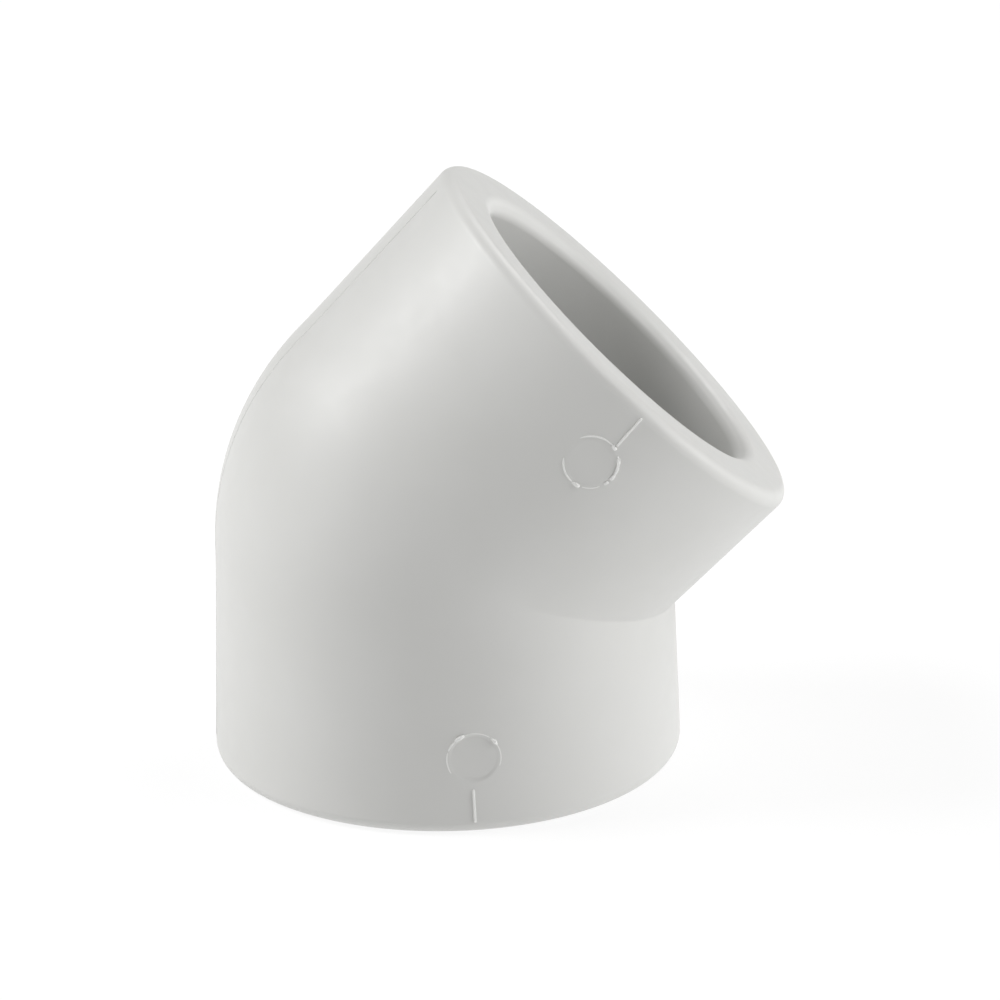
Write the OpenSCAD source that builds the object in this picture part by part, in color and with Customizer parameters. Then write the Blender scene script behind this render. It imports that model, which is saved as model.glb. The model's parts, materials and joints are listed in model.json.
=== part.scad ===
// 45 degree conduit elbow with two plain sockets, moulded in one piece.
// Origin: centre of the lower mouth face. +Z runs up the lower socket's axis, and the
// upper socket leans toward +X. Both axes lie in the XZ plane, where the mould parts.
// The elbow is the same on both sides of the plane that halves its bend.
// Each node is one region of the moulding. Regions meet face to face and never overlap.

/* [Conduit] */
// Outside diameter of the conduit that both sockets take
conduit_d = 40; // [38:0.5:41]
// Gap between the conduit and the socket wall, on the radius
conduit_gap = 0.2; // [0.1:0.05:0.4]
// Depth of each socket, from the mouth to the stop
socket_depth = 18.5; // [15:0.5:26]
// Lead-in chamfer at the mouth of each bore
lead_in = 1.1; // [0.4:0.1:2]

/* [Bend] */
// Angle that the run turns through
bend_angle = 45; // [30:1:45]
// Radius of the run's centre line through the bend
bend_r = 8.4; // [6:0.2:12]
// Distance from the crossing of the two axes to each stop
stop_reach = 11.7; // [11.6:0.1:15]
// Inside diameter of the passage beyond the stops
passage_d = 34.5; // [30:0.5:36]
// Thickness of each stop along its socket's axis
stop_t = 2.4; // [1:0.1:2.6]
// Round on the inner edge of each stop
stop_round = 0.6; // [0.2:0.1:0.9]
// How far each stop's outer edge reaches into the wall
stop_seat = 0.8; // [0.4:0.1:2]

/* [Body] */
// Outside diameter where the legs meet the bend
bend_od = 54.2; // [50:0.2:55]
// Outside diameter at the mouths, larger because the legs taper
mouth_od = 55.8; // [55.2:0.2:58]
// Round on the outer edge of each mouth
rim_round = 2; // [0.5:0.1:3]

/* [Marks] */
// Outside diameter of the witness ring on the side of each socket
ring_od = 6.7; // [4:0.1:9]
// Width of the ring's raised line
ring_line = 0.35; // [0.2:0.05:0.8]
// Distance from the mouth to the ring's centre
ring_from_mouth = 9.2; // [7:0.1:12]
// Height of the ring above the wall
ring_h = 0.12; // [0.08:0.02:0.3]
// Turn of the lower socket's ring toward the inside of the bend
lower_ring_turn = 1.8; // [-6:0.1:6]
// Turn of the upper socket's ring toward the inside of the bend
upper_ring_turn = 0.4; // [-6:0.1:6]
// Turn of both index ribs toward the inside of the bend
rib_turn = 1.8; // [-6:0.1:6]
// Width of the index rib between each ring and its mouth
rib_w = 0.5; // [0.3:0.05:1]
// Height of the index rib above the wall
rib_h = 0.22; // [0.1:0.02:0.4]
// Distance from the mouth to the near end of the index rib
rib_from_mouth = 2.1; // [2:0.1:3]
// Length of the index rib
rib_l = 3.6; // [2:0.1:3.7]
// Width of the bead that the mould's parting line leaves
seam_w = 0.24; // [0.16:0.02:0.5]
// Height of the parting bead above the wall
seam_h = 0.08; // [0.06:0.01:0.2]
// Break in the parting bead where the heel begins, on each leg
seam_break = 0.1; // [0.05:0.05:0.5]

/* [Hidden] */
$fn = 96;
socket_r = conduit_d / 2 + conduit_gap;
passage_r = passage_d / 2;
seat_r = socket_r + stop_seat;
leg = socket_depth + stop_reach;
half_bend = bend_angle / 2;
// Distance from the crossing of the axes to either end of the curved heel
heel_reach = bend_r * tan(half_bend);
heel_start = leg - heel_reach;
taper = atan((mouth_od - bend_od) / 2 / heel_start);
over = 1;
wall_colour = [0.87, 0.87, 0.86];
stop_colour = [0.80, 0.80, 0.78];
mark_colour = [0.93, 0.93, 0.92];

// Outer radius of a leg at a distance from its mouth
function leg_r(from_mouth) = mouth_od / 2 - from_mouth * tan(taper);

// Copies a child drawn on the lower leg to the same place on the upper leg
module on_upper_leg() {
    translate([0, 0, leg])
        mirror([sin(half_bend), 0, cos(half_bend)])
            translate([0, 0, -leg])
                children();
}

// Solid taper of a leg between two distances from its mouth, its wall moved out by grow
module leg_cone(start, end, grow = 0) {
    translate([0, 0, start])
        cylinder(r1 = leg_r(start) + grow, r2 = leg_r(end) + grow, h = end - start);
}

module bore(radius, start, end) {
    translate([0, 0, start]) cylinder(r = radius, h = end - start);
}

// Solid of a socket: tapered wall with a round that is tangent to the wall and the mouth
module socket_blank() {
    round_x = leg_r(0) - rim_round * (1 / cos(taper) + tan(taper));
    side_x = round_x + rim_round * cos(taper);
    side_z = rim_round * (1 + sin(taper));
    rotate_extrude() {
        polygon([
            [0, 0],
            [round_x, 0],
            [round_x, rim_round],
            [side_x, side_z],
            [leg_r(socket_depth), socket_depth],
            [0, socket_depth]
        ]);
        intersection() {
            translate([round_x, rim_round]) circle(rim_round);
            polygon([
                [round_x, -over],
                [side_x + over, -over],
                [side_x + over, side_z + over * tan(taper)],
                [side_x, side_z],
                [round_x, rim_round]
            ]);
        }
    }
}

module socket() {
    difference() {
        socket_blank();
        bore(socket_r, -over, socket_depth + over);
        translate([0, 0, -over])
            cylinder(r1 = socket_r + lead_in + over, r2 = socket_r - over, h = lead_in + 2 * over);
    }
}

// Shoulder that the conduit meets, with its inner lower edge rounded
module stop_ring() {
    round_x = passage_r + stop_round;
    translate([0, 0, socket_depth])
        rotate_extrude() {
            translate([round_x, 0]) square([seat_r - round_x, stop_t]);
            translate([passage_r, stop_round]) square([stop_round, stop_t - stop_round]);
            translate([round_x, stop_round]) circle(stop_round);
        }
}

// Leg wall from the stop to the heel, mitred against the other leg inside the bend
module neck() {
    difference() {
        leg_cone(socket_depth, heel_start);
        bore(passage_r, socket_depth - over, leg);
        bore(seat_r, socket_depth - over, socket_depth + stop_t);
        translate([0, 0, leg])
            rotate([0, half_bend, 0])
                translate([-mouth_od, -mouth_od, 0])
                    cube([2 * mouth_od, 2 * mouth_od, mouth_od]);
    }
}

// Wedge of the run swept about the bend's centre, between the ends of the two legs
module bend_sweep(radius) {
    translate([bend_r, 0, heel_start])
        rotate([90, 0, 0])
            rotate([0, 0, 180 - bend_angle])
                rotate_extrude(angle = bend_angle)
                    intersection() {
                        translate([bend_r, 0]) circle(radius);
                        translate([0, -2 * radius]) square(4 * radius);
                    }
}

module heel() {
    difference() {
        bend_sweep(bend_od / 2);
        bend_sweep(passage_r);
    }
}

// Raised line that a round mould insert leaves in the wall
module ring_mark(turn) {
    intersection() {
        difference() {
            leg_cone(rim_round, socket_depth, ring_h);
            leg_cone(rim_round - over, socket_depth + over);
        }
        rotate([0, 0, turn])
            translate([0, -socket_r, ring_from_mouth])
                rotate([90, 0, 0])
                    difference() {
                        cylinder(d = ring_od, h = mouth_od);
                        translate([0, 0, -over])
                            cylinder(d = ring_od - 2 * ring_line, h = mouth_od + 2 * over);
                    }
    }
}

// Short straight rib that lies along the wall and points at the mouth
module index_rib() {
    rotate([0, 0, rib_turn])
        translate([0, -leg_r(0), 0])
            rotate([-taper, 0, 0])
                translate([-rib_w / 2, -rib_h, rib_from_mouth])
                    cube([rib_w, rib_h, rib_l]);
}

// One side of the parting bead along a leg, as an outline in the XZ plane
module seam_strip(side, end) {
    low = leg_r(rim_round);
    high = leg_r(end);
    polygon([
        [side * low, rim_round],
        [side * (low + seam_h), rim_round],
        [side * (high + seam_h), end],
        [side * high, end]
    ]);
}

// Both sides of the parting bead along a leg, mitred against the other leg inside the bend
module leg_seam() {
    seam_strip(-1, heel_start - seam_break);
    difference() {
        seam_strip(1, heel_start);
        translate([0, leg]) rotate(-half_bend) square(2 * mouth_od);
    }
}

// Outline of the parting bead round the heel
module heel_seam() {
    outer = bend_r + bend_od / 2;
    far = 2 * outer;
    translate([bend_r, heel_start])
        intersection() {
            difference() {
                circle(outer + seam_h);
                circle(outer);
            }
            polygon([[0, 0], [-far, 0], [-far * cos(bend_angle), far * sin(bend_angle)]]);
        }
}

module seam() {
    rotate([90, 0, 0])
        linear_extrude(seam_w, center = true) {
            leg_seam();
            translate([0, leg])
                mirror([sin(half_bend), cos(half_bend)])
                    translate([0, -leg])
                        leg_seam();
            heel_seam();
        }
}

module lower_socket() { color(wall_colour) socket(); }
module lower_stop() { color(stop_colour) stop_ring(); }
module lower_neck() { color(wall_colour) neck(); }
module elbow_heel() { color(wall_colour) heel(); }
module upper_neck() { color(wall_colour) on_upper_leg() neck(); }
module upper_stop() { color(stop_colour) on_upper_leg() stop_ring(); }
module upper_socket() { color(wall_colour) on_upper_leg() socket(); }
module lower_ring_mark() { color(mark_colour) ring_mark(lower_ring_turn); }
module lower_index_rib() { color(mark_colour) index_rib(); }
module upper_ring_mark() { color(mark_colour) on_upper_leg() ring_mark(upper_ring_turn); }
module upper_index_rib() { color(mark_colour) on_upper_leg() index_rib(); }
module parting_line() { color(mark_colour) seam(); }

lower_socket();
lower_stop();
lower_neck();
elbow_heel();
upper_neck();
upper_stop();
upper_socket();
lower_ring_mark();
lower_index_rib();
upper_ring_mark();
upper_index_rib();
parting_line();
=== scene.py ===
import json
import math

import bpy
import numpy as np
from mathutils import Matrix, Vector


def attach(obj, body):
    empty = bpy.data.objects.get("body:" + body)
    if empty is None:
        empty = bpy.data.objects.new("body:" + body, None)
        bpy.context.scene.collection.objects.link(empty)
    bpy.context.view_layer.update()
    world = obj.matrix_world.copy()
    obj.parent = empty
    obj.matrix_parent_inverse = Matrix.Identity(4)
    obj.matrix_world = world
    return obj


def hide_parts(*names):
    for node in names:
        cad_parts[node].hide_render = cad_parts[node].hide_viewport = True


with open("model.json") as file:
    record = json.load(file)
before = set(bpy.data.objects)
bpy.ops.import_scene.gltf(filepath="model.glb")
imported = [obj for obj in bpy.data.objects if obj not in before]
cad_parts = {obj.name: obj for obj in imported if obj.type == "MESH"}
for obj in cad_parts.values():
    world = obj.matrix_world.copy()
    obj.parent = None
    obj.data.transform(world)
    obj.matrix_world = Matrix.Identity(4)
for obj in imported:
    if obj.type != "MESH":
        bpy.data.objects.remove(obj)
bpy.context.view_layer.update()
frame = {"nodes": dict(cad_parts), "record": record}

MM = 0.001
TINY = 1e-6

# How finely the leg is divided. Rings have extra points where the marks are.
COLUMN_STEP = 1.5  # degrees between the points of a ring
SKIN_ROWS = (10, 14)  # rings of a neck's skin, and of half the heel's
PASSAGE_ROWS = (6, 12)  # the same for the passage inside
MARK_COLUMNS = (-97.5, -81.0, 50)  # first and last degree of the finer part, and its steps
MARK_ROWS = (5.0 * MM, 13.4 * MM, 52)  # first and last height of the finer rows, and their steps

# Small shapes that the CAD leaves out or draws sharp
RIM_TIGHTER = 0.8  # radius of the outer rim, as a share of the CAD's
LEAD_IN_DEEPER = 0.2 * MM  # depth of the lead-in, beyond the CAD's
LEAD_IN_SOFT = 1.6 * MM  # round where the lead-in meets the bore
FACE_SOFT = 1.7 * MM  # round where the lead-in meets the mouth face
STOP_SOFT = 0.6 * MM  # round on the stop's inner lower edge
CREASE_R = 0.4 * MM  # fillet inside the bend
CREASE_BLEND = 0.7 * MM  # how gradually the heel's turn tightens into that fillet
SETTLING = 6  # rounds that find where each line of a leg starts to turn
TAPER_FADE = 5.0 * MM  # length over which a leg's taper runs out into the heel
PAD_RECESS = {"lower": 0.2 * MM, "upper": 0.08 * MM}  # flat pads, below the wall's crown
PAD_STEP = (0.15 * MM, 0.55 * MM)  # width of the step round a pad, toward the bend and the mouth
PAD_REACH = 2 * MM  # how deep under a pad's face the skin is still moved
MARK_SHIFT = {  # from the CAD's ring mark to the photo's, across and up the leg
    "lower": (-0.13 * MM, 0.21 * MM),
    "upper": (-0.46 * MM, -0.13 * MM),
}
BEAD_SUNK = 0.04 * MM  # how far the thin ridges reach into the wall
BEAD_SIDES = 12  # points across a ridge
BEAD_BOX = 0.6  # shape of its section: 1 is half an ellipse, and less is boxier
BEAD_LEAST = 0.02  # size of a ridge at its very end, as a share of its full size
BEAD_SHARP = 50  # degrees between faces that look sharp on a ridge


# ---------------------------------------------------------------- sizes from the frame

def node_points(node):
    """The CAD node's vertices as an array."""
    mesh = frame["nodes"][node].data
    points = np.empty(len(mesh.vertices) * 3)
    mesh.vertices.foreach_get("co", points)
    return points.reshape(-1, 3)


def read_leg():
    """The driving sizes of a leg and of the bend, measured on the CAD nodes."""
    mounts = {m["name"]: m for m in frame["record"]["mounts"]}
    rim = mounts["upper_rim"]
    bend = math.acos(rim["axis"][2])
    s = {"half": bend / 2, "bore_r": mounts["lower_socket_bore"]["dims"]["r_mm"] * MM}
    s["leg"] = rim["pos_m"][2] / (1 + math.cos(bend))

    points = node_points("lower_socket")
    radius, height = np.hypot(points[:, 0], points[:, 1]), points[:, 2]
    face = radius[height < TINY]
    widest = radius.argmax()
    s["depth"] = height.max()
    s["face_in"], s["face_out"] = face.min(), face.max()
    s["wide_r"], s["wide_z"] = radius[widest], height[widest]
    s["top_r"] = radius[height > s["depth"] - TINY].max()
    s["slope"] = (s["wide_r"] - s["top_r"]) / (s["depth"] - s["wide_z"])

    points = node_points("lower_stop")
    radius = np.hypot(points[:, 0], points[:, 1])
    s["passage_r"], s["seat_r"] = radius.min(), radius.max()
    s["stop_t"] = np.ptp(points[:, 2])

    s["heel_z"] = node_points("lower_neck")[:, 2].max()
    s["heel_r"] = abs(node_points("elbow_heel")[:, 1]).max()
    s["bend_r"] = (s["leg"] - s["heel_z"]) / math.tan(s["half"])
    return s


SIZE = read_leg()


def wall_r(z):
    """Outer radius of the leg at a height. The taper runs out gently toward the heel."""
    d = np.maximum(SIZE["heel_z"] - z, 0)
    run = np.where(d < TAPER_FADE, d * d / (2 * TAPER_FADE), d - TAPER_FADE / 2)
    return SIZE["heel_r"] + SIZE["slope"] * (TAPER_FADE / 2 + run)


def passage_r(z):
    """Radius of the passage behind the stops, the same at every height."""
    return SIZE["passage_r"] + 0 * z


def column_angles():
    """Angles of a ring's points, from +X, finer on the side that carries the marks."""
    first, last, steps = MARK_COLUMNS
    coarse = np.arange(-180, 180, COLUMN_STEP)
    coarse = coarse[(coarse < first - TINY) | (coarse > last + TINY)]
    return np.radians(np.sort(np.concatenate([coarse, np.linspace(first, last, steps + 1)])))


PHI = column_angles()


# ---------------------------------------------------------------- mesh helpers

def to_upper(points):
    """Mirrors points, in an array of any shape, from the lower leg to the upper leg."""
    normal = np.array([math.sin(SIZE["half"]), 0, math.cos(SIZE["half"])])
    on_plane = np.array([0, 0, SIZE["leg"]])
    return points - 2 * ((points - on_plane) @ normal)[..., None] * normal


def to_upper_direction(vectors):
    normal = np.array([math.sin(SIZE["half"]), 0, math.cos(SIZE["half"])])
    return vectors - 2 * (vectors @ normal)[..., None] * normal


def rounded(corners):
    """Polyline through (x, y, radius, steps) corners, each corner with a radius made an arc."""
    out = []
    for i, (x, y, radius, steps) in enumerate(corners):
        here = np.array([x, y])
        if not radius:
            out.append(here)
            continue
        before = np.array(corners[i - 1][:2]) - here
        after = np.array(corners[i + 1][:2]) - here
        before, after = before / np.linalg.norm(before), after / np.linalg.norm(after)
        opening = math.acos(float(np.clip(before @ after, -1, 1)))
        middle = (before + after) / np.linalg.norm(before + after)
        centre = here + middle * radius / math.sin(opening / 2)
        reach = radius / math.tan(opening / 2)
        start, end = here + before * reach - centre, here + after * reach - centre
        turn = math.pi - opening
        for k in range(steps + 1):
            t = k / steps
            a, b = math.sin((1 - t) * turn), math.sin(t * turn)
            out.append(centre + (a * start + b * end) / math.sin(turn))
    return np.array(out)


def spun(profile):
    """Rings made by turning (radius, height) points round the leg's axis."""
    r, z = profile[:, 0, None], profile[:, 1, None]
    return np.stack(np.broadcast_arrays(r * np.cos(PHI), r * np.sin(PHI), z + 0 * PHI), axis=-1)


def ring_normals(rings):
    """Outward normals of rings listed so that they climb the outer wall."""
    closed = np.concatenate([rings[:, -1:], rings, rings[:, :1]], axis=1)
    angles = np.concatenate([[PHI[-1] - 2 * math.pi], PHI, [PHI[0] + 2 * math.pi]])
    round_leg = np.gradient(closed, angles, axis=1)[:, 1:-1]
    normals = np.cross(round_leg, np.gradient(rings, axis=0))
    return normals / np.linalg.norm(normals, axis=-1, keepdims=True)


def mirrored(bands):
    """The bands of a lower-leg piece, with their normals, moved to the upper leg."""
    return [(to_upper(p)[:, ::-1], to_upper_direction(n)[:, ::-1]) for p, n in bands]


def smooth(rings):
    return rings, ring_normals(rings)


def ring_piece(name, bands):
    """A closed tube of rings. Each band is smooth, its last ring is the next band's first,
    and the edge between two bands is sharp."""
    columns = len(PHI)
    verts, quads, normals, firsts, row = [], [], [], [], 0
    total = sum(len(p) - 1 for p, n in bands)
    j = np.arange(columns)
    k = (j + 1) % columns
    for points, n in bands:
        firsts.append(row)
        verts.append(points[:-1].reshape(-1, 3))
        for i in range(len(points) - 1):
            a, b = (row + i) % total * columns, (row + i + 1) % total * columns
            quads.append(np.stack([a + j, a + k, b + k, b + j], axis=1))
            normals.append(np.stack([n[i, j], n[i, k], n[i + 1, k], n[i + 1, j]], axis=1))
        row += len(points) - 1
    mesh = bpy.data.meshes.new(name)
    mesh.from_pydata(np.concatenate(verts).tolist(), [], np.concatenate(quads).tolist())
    mesh.shade_smooth()
    ends = np.empty(len(mesh.edges) * 2, dtype=np.int32)
    mesh.edges.foreach_get("vertices", ends)
    rows = ends.reshape(-1, 2) // columns
    sharp = (rows[:, 0] == rows[:, 1]) & np.isin(rows[:, 0], firsts)
    mesh.attributes.new("sharp_edge", "BOOLEAN", "EDGE").data.foreach_set("value", sharp)
    mesh.normals_split_custom_set(np.concatenate(normals).reshape(-1, 3).tolist())
    add_piece(name, mesh)


def add_piece(name, mesh):
    piece = bpy.data.objects.new(name, mesh)
    bpy.context.scene.collection.objects.link(piece)
    return piece


# ---------------------------------------------------------------- where the marks are

def read_marks():
    """Size of the CAD's ring marks, and where they and the index ribs sit on the legs."""
    ring = node_points("lower_ring_mark")
    upper = to_upper(node_points("upper_ring_mark"))
    rib = node_points("lower_index_rib")

    def turn(points):
        middle = (points.min(0) + points.max(0)) / 2
        return math.atan2(middle[0], -middle[1])

    radius = np.ptp(ring[:, 2]) / 2
    centre_z = (ring[:, 2].min() + ring[:, 2].max()) / 2
    away = np.hypot(ring[:, 0] - ring[:, 0].mean(), ring[:, 2] - centre_z)
    mark = {"ring_r": radius, "ring_w": radius - away.min(), "rib_turn": turn(rib)}
    for leg, points in (("lower", ring), ("upper", upper)):
        across, up = MARK_SHIFT[leg]
        mark[leg] = (turn(points) + across / SIZE["wide_r"], centre_z + up)
    return mark


MARK = read_marks()


def mark_place(leg):
    """Centre, wall normal, and the directions across and up the leg, at a ring mark."""
    turn, z = MARK[leg]
    slope = math.atan(SIZE["slope"])
    outward = np.array([math.sin(turn), -math.cos(turn), 0])
    across = np.array([math.cos(turn), math.sin(turn), 0])
    normal = outward * math.cos(slope) + np.array([0, 0, math.sin(slope)])
    up = np.array([0, 0, math.cos(slope)]) - outward * math.sin(slope)
    centre = outward * float(wall_r(z)) + np.array([0, 0, z])
    return centre, normal, across, up


# ---------------------------------------------------------------- the moulding's regions

def press_pad(rings, leg):
    """Flattens the wall inside the ring mark, where the round mould insert's end was.
    The step round it is soft toward the mouth and narrow toward the bend."""
    centre, normal, across, up = mark_place(leg)
    from_centre = rings - centre
    u, w, depth = from_centre @ across, from_centre @ up, from_centre @ normal
    away = np.hypot(u, w)
    toward_mouth = (1 - w / np.maximum(away, TINY)) / 2
    step = PAD_STEP[0] + (PAD_STEP[1] - PAD_STEP[0]) * toward_mouth**2
    share = np.clip((MARK["ring_r"] - MARK["ring_w"] - away) / step, 0, 1)
    share = share * share * (3 - 2 * share) * (depth > -PAD_REACH)
    return rings + ((-PAD_RECESS[leg] - depth) * share)[..., None] * normal


def socket_bands(leg):
    """Bore, lead-in, mouth face, rim and tapered wall in one band, then the hidden cut."""
    s = SIZE
    virtual_r = s["wide_r"] + s["slope"] * s["wide_z"]
    rim = RIM_TIGHTER * s["wide_z"] / (1 + math.sin(math.atan(s["slope"])))
    lead_in = s["face_in"] - s["bore_r"] + LEAD_IN_DEEPER
    inside = rounded([
        (s["bore_r"], s["depth"], 0, 0),
        (s["bore_r"], lead_in, LEAD_IN_SOFT, 10),
        (s["face_in"], 0, FACE_SOFT, 12),
        (virtual_r, 0, rim, 18),
        (s["top_r"], s["depth"], 0, 0),
    ])
    first, last, steps = MARK_ROWS
    heights = np.concatenate([np.linspace(first, last, steps + 1), [s["depth"]]])
    wall = np.stack([wall_r(heights), heights], axis=1)
    profile = np.concatenate([inside[:-1], wall])
    shell = press_pad(spun(profile), leg)
    top = spun(np.array([wall[-1], [s["bore_r"], s["depth"]]]))
    return [smooth(shell), smooth(top)]


def stop_bands():
    """Ring that the conduit's end meets, its inner lower edge rounded."""
    s = SIZE
    low, high = s["depth"], s["depth"] + s["stop_t"]
    outer = np.array([[s["seat_r"], low], [s["seat_r"], high]])
    top = np.array([[s["seat_r"], high], [s["passage_r"], high]])
    inner = rounded([
        (s["passage_r"], high, 0, 0),
        (s["passage_r"], low, STOP_SOFT, 8),
        (s["seat_r"], low, 0, 0),
    ])
    return [smooth(spun(outer)), smooth(spun(top)), smooth(spun(inner))]


def half_run(start, leg_r, heel_r, rows, arc_rows):
    """Rings from a height up to the plane that halves the bend, round a wall or passage.
    Outside the bend's centre the run turns about it, and inside it turns in the crease."""
    s = SIZE
    tan_half = math.tan(s["half"])
    x = heel_r * np.cos(PHI)
    room = s["bend_r"] - x - CREASE_R
    turn_r = CREASE_R + (room + np.sqrt(room * room + CREASE_BLEND**2)) / 2
    z = np.full_like(PHI, s["heel_z"])
    for _ in range(SETTLING):
        x = leg_r(z) * np.cos(PHI)
        z = np.minimum(s["leg"] - (x + turn_r) * tan_half, s["heel_z"])
    z = s["leg"] - (leg_r(z) * np.cos(PHI) + turn_r) * tan_half
    heights = start + np.linspace(0, 1, rows + 1)[:, None] * (z - start)
    radius = leg_r(heights)
    legs = np.stack([radius * np.cos(PHI), radius * np.sin(PHI), heights], axis=-1)
    turned = np.linspace(0, s["half"], arc_rows + 1)[1:, None]
    arc = np.stack(
        np.broadcast_arrays(
            legs[-1, :, 0] + turn_r * (1 - np.cos(turned)),
            legs[-1, :, 1] + 0 * turned,
            legs[-1, :, 2] + turn_r * np.sin(turned),
        ),
        axis=-1,
    )
    return np.concatenate([legs, arc])


def whole_run(half):
    """Both halves of a run, from the lower leg to the upper leg."""
    return np.concatenate([half, to_upper(half[-2::-1])])


def bend_bands():
    """The outer skin of necks and heel, the passage through them, and their hidden cuts."""
    s = SIZE
    low, high = s["depth"], s["depth"] + s["stop_t"]
    skin = whole_run(half_run(low, wall_r, s["heel_r"], *SKIN_ROWS))
    passage = whole_run(half_run(high, passage_r, s["passage_r"], *PASSAGE_ROWS))[::-1]
    cut = spun(np.array([[s["seat_r"], low], [float(wall_r(low)), low]]))
    seat = spun(np.array([[s["seat_r"], high], [s["seat_r"], low]]))
    step = spun(np.array([[s["passage_r"], high], [s["seat_r"], high]]))
    upper = [smooth(to_upper(rings)[::-1]) for rings in (cut, seat, step)]
    return [smooth(skin), *upper, smooth(passage), smooth(step), smooth(seat), smooth(cut)]


def make_moulding():
    ring_piece("lower_socket_wall", socket_bands("lower"))
    ring_piece("upper_socket_wall", mirrored(socket_bands("upper")))
    ring_piece("lower_stop_ring", stop_bands())
    ring_piece("upper_stop_ring", mirrored(stop_bands()))
    ring_piece("elbow_bend", bend_bands())


# ---------------------------------------------------------------- marks and parting line

def on_wall(turn, u, z):
    """Points and normals of the leg's wall, u metres across from the angle turn."""
    radius = wall_r(z)
    angle = turn + u / radius
    slope = math.atan(SIZE["slope"])
    outward = np.stack([np.sin(angle), -np.cos(angle), 0 * angle], axis=-1)
    points = outward * radius[:, None] + np.stack([0 * z, 0 * z, z], axis=-1)
    return points, outward * math.cos(slope) + np.array([0, 0, math.sin(slope)])


def ripple(t, seed, waves=5):
    """Smooth wandering between about -1 and 1 along t, the same for the same seed."""
    rng = np.random.default_rng(seed)
    out = np.zeros_like(t)
    for k in range(1, waves + 1):
        out += math.sin(rng.uniform(0, 6)) / k * np.sin(k * t + rng.uniform(0, 2 * math.pi))
        out += rng.uniform(-0.6, 0.6) / k * np.cos(2 * k * t)
    return out / 2


def add_bead(verts, faces, points, normals, width, height):
    """A low ridge along points that starts and ends in a point, with a boxy round section."""
    along = np.gradient(points, axis=0)
    across = np.cross(along, normals)
    across /= np.linalg.norm(across, axis=-1, keepdims=True)
    arc = np.linspace(0, math.pi, BEAD_SIDES)
    rise = np.sin(arc) ** BEAD_BOX
    reach = np.sign(np.cos(arc)) * abs(np.cos(arc)) ** BEAD_BOX / 2
    out = reach[None, :, None] * width[:, None, None] * across[:, None]
    lift = rise[None, :, None] * height[:, None, None] * normals[:, None]
    base = points[:, None] + out[:, [-1, 0]] - BEAD_SUNK * normals[:, None]
    rows = np.concatenate([points[:, None] + out + lift, base], axis=1)
    count, first = rows.shape[1], len(verts)
    verts.extend(rows[1:-1].reshape(-1, 3).tolist())
    start, end = len(verts), len(verts) + 1
    verts.extend([points[0].tolist(), points[-1].tolist()])
    last = first + (len(rows) - 3) * count
    for j in range(count):
        k = (j + 1) % count
        faces.append((start, first + j, first + k))
        faces.append((end, last + k, last + j))
        for i in range(len(rows) - 3):
            a = first + i * count
            faces.append((a + j, a + count + j, a + count + k, a + k))


def bead_piece(name, verts, faces):
    mesh = bpy.data.meshes.new(name)
    mesh.from_pydata(verts, [], faces)
    mesh.shade_smooth()
    mesh.set_sharp_from_angle(angle=math.radians(BEAD_SHARP))
    add_piece(name, mesh)


# Strokes of flash round each insert: start and end angle, height and width in mm, and
# how uneven the stroke is. The angles are in degrees, counter-clockwise from +X on the
# upright leg, seen from the -Y side.
FLASH = {
    "lower": (
        (109, 134, 0.30, 0.42, 0.25),
        (131, 160, 0.10, 0.22, 0.2),
        (162, 212, 0.04, 0.18, 0.1),
        (28, 52, 0.22, 0.34, 0.5),
        (34, 44, 0.30, 0.44, 0.2),
        (-20, 31, 0.025, 0.13, 0.0),
        (50, 112, 0.02, 0.12, 0.1),
    ),
    "upper": (
        (202, 284, 0.10, 0.22, 0.25),
        (276, 290, 0.28, 0.46, 0.3),
        (303, 359, 0.22, 0.32, 0.35),
        (309, 323, 0.28, 0.44, 0.2),
        (346, 362, 0.28, 0.46, 0.2),
        (6, 18, 0.22, 0.38, 0.4),
        (26, 66, 0.07, 0.16, 0.2),
        (69, 89, 0.28, 0.44, 0.3),
        (86, 148, 0.10, 0.22, 0.15),
    ),
}

FLASH_STEP = 1.5  # degrees between the points of a stroke
FLASH_STEPS = 12  # the least steps in a stroke
RING_WOBBLE = 0.010  # how far the flash leaves a true circle, as a share of its radius

# Ends of the index ribs: height on the leg, and shift across from the CAD's rib, in mm
RIB_ENDS = {
    "lower": ((5.71, -0.27), (1.51, -0.16)),
    "upper": ((5.7, -0.36), (1.3, -0.63)),
}
RIB_WIDTH = 0.28 * MM
RIB_HEIGHT = 0.2 * MM
RIB_POINTS = 61
RIB_TIP = 0.05  # length of each pointed end, as a share of the rib
RIB_WOBBLE = 0.02  # mm that the rib wanders to either side
RIB_WEAR = 0.12  # how uneven its crest is

PARTING_WIDTH = 0.15 * MM
PARTING_HEIGHT = 0.06 * MM
PARTING_APART = 0.1 * MM  # from the mould's dividing plane to each ridge
PARTING_CLEAR = 0.1 * MM  # from the round of the rim to the ridges
PARTING_POINTS = 260
PARTING_FAINT = 0.35  # size far from a mouth, as a share of the size beside it
PARTING_FADE = 9 * MM  # length over which the ridges grow faint
PARTING_TIP = 0.6 * MM  # length of each pointed end
PARTING_WEAR = 0.5  # how uneven the ridges are


def mark_piece(name, verts, faces, leg):
    """A mark drawn on the upright leg, put on its own leg."""
    if leg == "upper":
        verts = to_upper(np.array(verts)).tolist()
        faces = [face[::-1] for face in faces]
    bead_piece(name, verts, faces)


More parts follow.
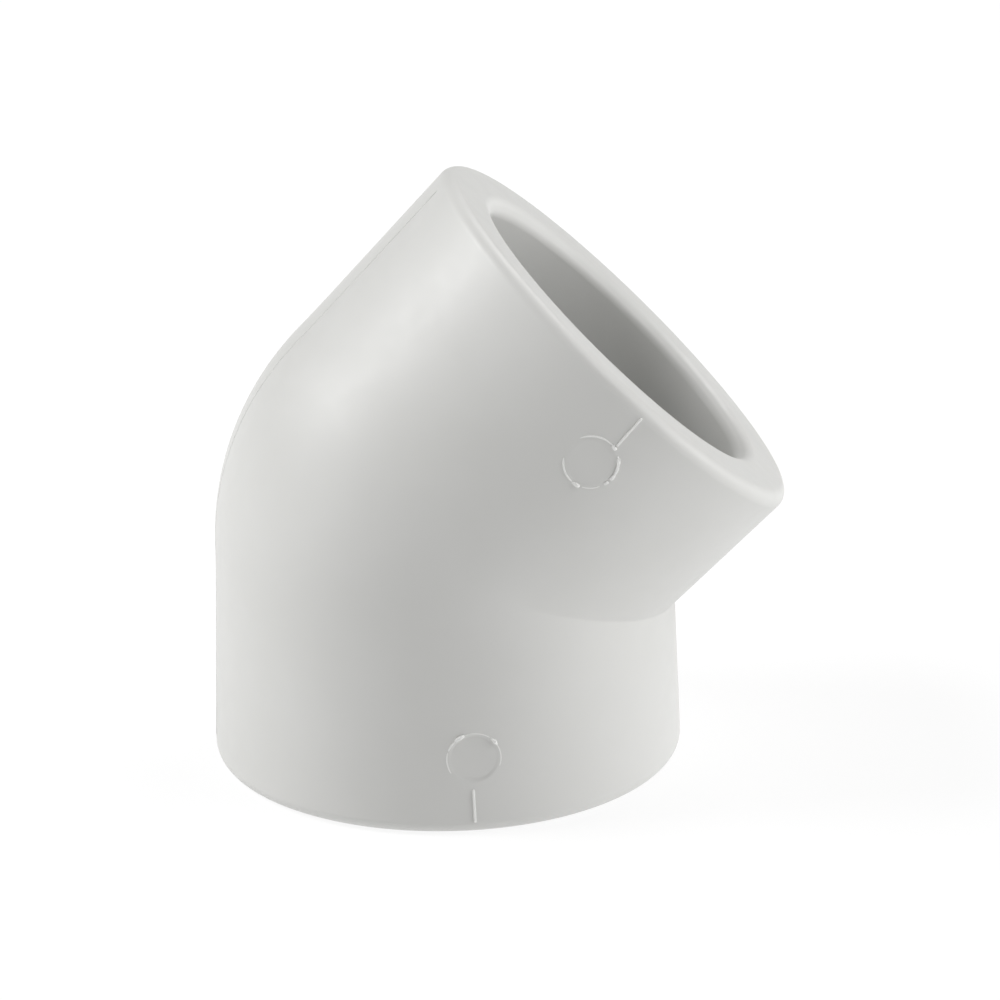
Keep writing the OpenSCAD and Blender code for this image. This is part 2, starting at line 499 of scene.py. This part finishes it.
def ring_flash(leg, seed):
    """Broken flash round the mould insert, one low ridge for each stroke."""
    verts, faces = [], []
    turn, centre_z = MARK[leg]
    middle_r = MARK["ring_r"] - MARK["ring_w"] / 2
    for row, (start, end, height, width, uneven) in enumerate(FLASH[leg]):
        steps = max(FLASH_STEPS, int((end - start) / FLASH_STEP))
        t = np.linspace(0, 1, steps + 1)
        angle = np.radians(start + (end - start) * t)
        radius = middle_r * (1 + RING_WOBBLE * ripple(angle, seed))
        points, normals = on_wall(turn, radius * np.cos(angle), centre_z + radius * np.sin(angle))
        body = np.sin(math.pi * t) ** 0.45
        body *= 1 + uneven * ripple(6 * angle, seed + 10 + row)
        body = np.clip(body, BEAD_LEAST, 1.6)
        add_bead(verts, faces, points, normals, width * MM * body**0.5, height * MM * body)
    mark_piece(f"{leg}_ring_flash", verts, faces, leg)


def index_rib(leg, seed):
    """Narrow rib between the ring mark and the rim, a little worn along its crest."""
    verts, faces = [], []
    (high, from_u), (low, to_u) = RIB_ENDS[leg]
    t = np.linspace(0, 1, RIB_POINTS)
    z = (high + (low - high) * t) * MM
    u = (from_u + (to_u - from_u) * t + RIB_WOBBLE * ripple(5 * t, seed)) * MM
    points, normals = on_wall(MARK["rib_turn"], u, z)
    ends = np.clip(np.minimum(t, 1 - t) / RIB_TIP, 0, 1) ** 0.5
    body = np.clip(ends * (1 + RIB_WEAR * ripple(9 * t, seed + 1)), BEAD_LEAST, 1.3)
    add_bead(verts, faces, points, normals, RIB_WIDTH * body**0.4, RIB_HEIGHT * body)
    mark_piece(f"{leg}_index_tick", verts, faces, leg)


def parting_bead():
    """Two fine ridges where the mould halves met. They fade away from the mouths."""
    verts, faces = [], []
    s = SIZE
    skin = whole_run(half_run(s["depth"], wall_r, s["heel_r"], *SKIN_ROWS))
    for side, column in ((-1, int(abs(PHI + math.pi).argmin())), (1, int(abs(PHI).argmin()))):
        low_z = np.linspace(s["wide_z"] + PARTING_CLEAR, s["depth"], 40)[:-1]
        low = np.stack([side * wall_r(low_z), 0 * low_z, low_z], axis=-1)
        line = np.concatenate([low, skin[:, column], to_upper(low[::-1])])
        gaps = np.linalg.norm(np.diff(line, axis=0), axis=1)
        reach = np.concatenate([[0], np.cumsum(gaps)])
        even = np.linspace(0, reach[-1], PARTING_POINTS)
        points = np.stack([np.interp(even, reach, line[:, k]) for k in range(3)], axis=-1)
        along = np.gradient(points, axis=0)
        along /= np.linalg.norm(along, axis=-1, keepdims=True)
        normals = side * np.cross(np.array([0.0, 1.0, 0.0]), along)
        t = even / reach[-1]
        from_mouth = np.minimum(even, reach[-1] - even)
        near = np.exp(-((from_mouth / PARTING_FADE) ** 2))
        fade = PARTING_FAINT + (1 - PARTING_FAINT) * near
        ends = np.clip(from_mouth / PARTING_TIP, BEAD_LEAST, 1)
        for ridge in (-1, 1):
            wear = 1 + PARTING_WEAR * ripple(14 * t, 7 + side + 3 * ridge)
            body = np.clip(fade * wear, 0.05, 2) * ends
            beside = points + np.array([0, ridge * PARTING_APART, 0])
            widths = PARTING_WIDTH * body**0.3
            add_bead(verts, faces, beside, normals, widths, PARTING_HEIGHT * body)
    bead_piece("parting_bead", verts, faces)


def make_marks():
    for leg, seed in (("lower", 3), ("upper", 5)):
        ring_flash(leg, seed)
        index_rib(leg, seed + 8)
    parting_bead()


# ---------------------------------------------------------------- materials

def new_material(name):
    material = bpy.data.materials.new(name)
    material.use_nodes = True
    return material, material.node_tree.nodes, material.node_tree.links


def noise(nodes, links, coords, scale, detail, roughness):
    node = nodes.new("ShaderNodeTexNoise")
    node.inputs["Scale"].default_value = scale
    node.inputs["Detail"].default_value = detail
    node.inputs["Roughness"].default_value = roughness
    links.new(coords, node.inputs["Vector"])
    return node.outputs["Fac"]


def ramp(nodes, links, value, low, high, start=0.3, end=0.7):
    node = nodes.new("ShaderNodeValToRGB")
    node.color_ramp.elements[0].position = start
    node.color_ramp.elements[1].position = end
    node.color_ramp.elements[0].color = (*low, 1)
    node.color_ramp.elements[1].color = (*high, 1)
    links.new(value, node.inputs["Fac"])
    return node.outputs["Color"]


def to_range(nodes, links, value, low, high, start=0.3, end=0.7):
    node = nodes.new("ShaderNodeMapRange")
    node.inputs["From Min"].default_value = start
    node.inputs["From Max"].default_value = end
    node.inputs["To Min"].default_value = low
    node.inputs["To Max"].default_value = high
    links.new(value, node.inputs["Value"])
    return node.outputs["Result"]


def bump(nodes, links, height, distance, strength, normal=None):
    node = nodes.new("ShaderNodeBump")
    node.inputs["Distance"].default_value = distance
    node.inputs["Strength"].default_value = strength
    links.new(height, node.inputs["Height"])
    if normal is not None:
        links.new(normal, node.inputs["Normal"])
    return node.outputs["Normal"]


# Scale, detail and roughness of each pattern in the plastic
CLOUDS = (55, 3, 0.55)
PEEL = (420, 2, 0.4)
GRAIN = (3600, 4, 0.6)
PEEL_DEPTH = 0.03 * MM
PEEL_STRENGTH = 0.06
GRAIN_DEPTH = 0.01 * MM
PLASTIC_IOR = 1.48


def moulded_plastic(name, dark, light, rough, grain):
    """Satin moulded plastic: cloudy tint, very fine grain and faint orange peel."""
    material, nodes, links = new_material(name)
    shader = nodes["Principled BSDF"]
    coords = nodes.new("ShaderNodeTexCoord").outputs["Object"]
    clouds = noise(nodes, links, coords, *CLOUDS)
    peel = noise(nodes, links, coords, *PEEL)
    fine = noise(nodes, links, coords, *GRAIN)
    links.new(ramp(nodes, links, clouds, dark, light), shader.inputs["Base Color"])
    links.new(to_range(nodes, links, peel, *rough), shader.inputs["Roughness"])
    soft = bump(nodes, links, peel, PEEL_DEPTH, PEEL_STRENGTH)
    links.new(bump(nodes, links, fine, GRAIN_DEPTH, grain, soft), shader.inputs["Normal"])
    shader.inputs["IOR"].default_value = PLASTIC_IOR
    return material


# Darkest and lightest tint, least and most roughness, and strength of grain
FINISHES = {
    "moulded_wall": ((0.576, 0.576, 0.559), (0.598, 0.598, 0.583), (0.42, 0.50), 0.35),
    # The bore's plastic is smoother than the outside, and its slightly darker tint is painted
    # shade for the inside of the bore.
    "moulded_bore": ((0.563, 0.563, 0.541), (0.585, 0.585, 0.568), (0.36, 0.44), 0.20),
    # Flash and ticks are a little whiter plastic than the wall. Their tint is raised further as a
    # painted highlight on the ridges.
    "witness_marks": ((0.74, 0.74, 0.725), (0.79, 0.79, 0.775), (0.34, 0.42), 0.20),
}


def make_materials():
    return {name: moulded_plastic(name, *finish) for name, finish in FINISHES.items()}


# Finish of each piece, and the CAD nodes it stands for
PIECES = {
    "lower_socket_wall": ("moulded_wall", ["lower_socket"]),
    "upper_socket_wall": ("moulded_wall", ["upper_socket"]),
    "elbow_bend": ("moulded_wall", ["lower_neck", "elbow_heel", "upper_neck"]),
    # The stop rings deep in the bore take the slightly darker tint, which is painted shade.
    "lower_stop_ring": ("moulded_bore", ["lower_stop"]),
    "upper_stop_ring": ("moulded_bore", ["upper_stop"]),
    # The flash and ticks take the whiter tint, which is partly their own colour and partly a
    # painted highlight.
    "lower_ring_flash": ("witness_marks", ["lower_ring_mark"]),
    "upper_ring_flash": ("witness_marks", ["upper_ring_mark"]),
    "lower_index_tick": ("witness_marks", ["lower_index_rib"]),
    "upper_index_tick": ("witness_marks", ["upper_index_rib"]),
    "parting_bead": ("moulded_wall", ["parting_line"]),
}


def fit_pieces(materials):
    """Hands every piece its material and its body, and hides the CAD nodes it stands for."""
    for name, (slot, nodes) in PIECES.items():
        piece = bpy.data.objects[name]
        piece.data.materials.append(materials[slot])
        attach(piece, "root")
        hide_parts(*nodes)


# ---------------------------------------------------------------- studio

CENTRE = Vector((0, 0, SIZE["leg"]))
FLOOR_SIDE = 12.0
FLOOR_TONE = 0.15
FLOOR_GLOW = 0.855
GLOW_INSIDE = 1 * MM  # how far in from the mouth's outer edge the glow starts
GLOW_FADE = 0.5 * MM
WORLD = 0.01
LIGHT_SIZE = 0.5
LIGHT_DISTANCE = 0.9
LIGHTS = (
    # name, azimuth, elevation, watts
    ("left_high", -100, 45, 7.5),
    ("left_low", -75, 10, 1.3),
    ("right_high", 65, 45, 2.9),
    ("right_front", 65, 10, 1.4),
    ("right_low", 90, 10, 3.0),
    ("right_back", 140, 45, 2.7),
    ("front_low", 0, 15, 0.6),
)


def from_side(azimuth, elevation):
    """Unit vector from the object toward a place round it. Azimuth 0 is -Y and 90 is +X."""
    a, e = math.radians(azimuth), math.radians(elevation)
    return Vector((math.sin(a) * math.cos(e), -math.cos(a) * math.cos(e), math.sin(e)))


def make_floor():
    """Pale sheet that glows like a light table, except where the object covers it."""
    half = FLOOR_SIDE / 2
    mesh = bpy.data.meshes.new("floor")
    corners = [(-half, -half, 0), (half, -half, 0), (half, half, 0), (-half, half, 0)]
    mesh.from_pydata(corners, [], [(0, 1, 2, 3)])
    floor = add_piece("floor", mesh)
    material, nodes, links = new_material("pale_floor")
    shader = nodes["Principled BSDF"]
    shader.inputs["Base Color"].default_value = (FLOOR_TONE, FLOOR_TONE, FLOOR_TONE, 1)
    shader.inputs["Roughness"].default_value = 0.9
    shader.inputs["Specular IOR Level"].default_value = 0.0
    shader.inputs["Emission Color"].default_value = (1, 1, 1, 1)
    away = nodes.new("ShaderNodeVectorMath")
    away.operation = "LENGTH"
    links.new(nodes.new("ShaderNodeTexCoord").outputs["Object"], away.inputs[0])
    covered = SIZE["face_out"] - GLOW_INSIDE
    lit = covered + GLOW_FADE
    glow = to_range(nodes, links, away.outputs["Value"], 0, FLOOR_GLOW, covered, lit)
    links.new(glow, shader.inputs["Emission Strength"])
    mesh.materials.append(material)


def make_world():
    world = bpy.data.worlds.new("studio")
    world.use_nodes = True
    back = world.node_tree.nodes["Background"]
    back.inputs["Color"].default_value = (1, 1, 1, 1)
    back.inputs["Strength"].default_value = WORLD
    bpy.context.scene.world = world


def make_lights():
    for name, azimuth, elevation, watts in LIGHTS:
        data = bpy.data.lights.new(name, "AREA")
        data.shape = "DISK"
        data.size = LIGHT_SIZE
        data.energy = watts
        light = bpy.data.objects.new(name, data)
        light.location = CENTRE + from_side(azimuth, elevation) * LIGHT_DISTANCE
        light.rotation_mode = "QUATERNION"
        light.rotation_quaternion = (CENTRE - light.location).to_track_quat("-Z", "Y")
        bpy.context.scene.collection.objects.link(light)


CAMERA_AZIMUTH = -4.5
CAMERA_ELEVATION = 20.9
CAMERA_ROLL = -1.25
CAMERA_DISTANCE = 0.728
CAMERA_SENSOR = 36
CAMERA_LENS = 221.0
CAMERA_SHIFT = (0.0566, 0.0071)
CAMERA_CLIP = (0.05, 50)


def make_camera():
    data = bpy.data.cameras.new("camera")
    data.sensor_width = CAMERA_SENSOR
    data.lens = CAMERA_LENS
    data.shift_x, data.shift_y = CAMERA_SHIFT
    data.clip_start, data.clip_end = CAMERA_CLIP
    camera = bpy.data.objects.new("camera", data)
    back = from_side(CAMERA_AZIMUTH, CAMERA_ELEVATION)
    camera.location = CENTRE + back * CAMERA_DISTANCE
    camera.rotation_mode = "QUATERNION"
    level = (-back).to_track_quat("-Z", "Y")
    roll = Matrix.Rotation(math.radians(CAMERA_ROLL), 3, "Z").to_quaternion()
    camera.rotation_quaternion = level @ roll
    bpy.context.scene.collection.objects.link(camera)
    bpy.context.scene.camera = camera


def set_view():
    scene = bpy.context.scene
    scene.view_settings.view_transform = "Standard"
    scene.view_settings.look = "None"
    scene.view_settings.exposure = 0.0


make_moulding()
make_marks()
fit_pieces(make_materials())
make_floor()
make_world()
make_lights()
make_camera()
set_view()
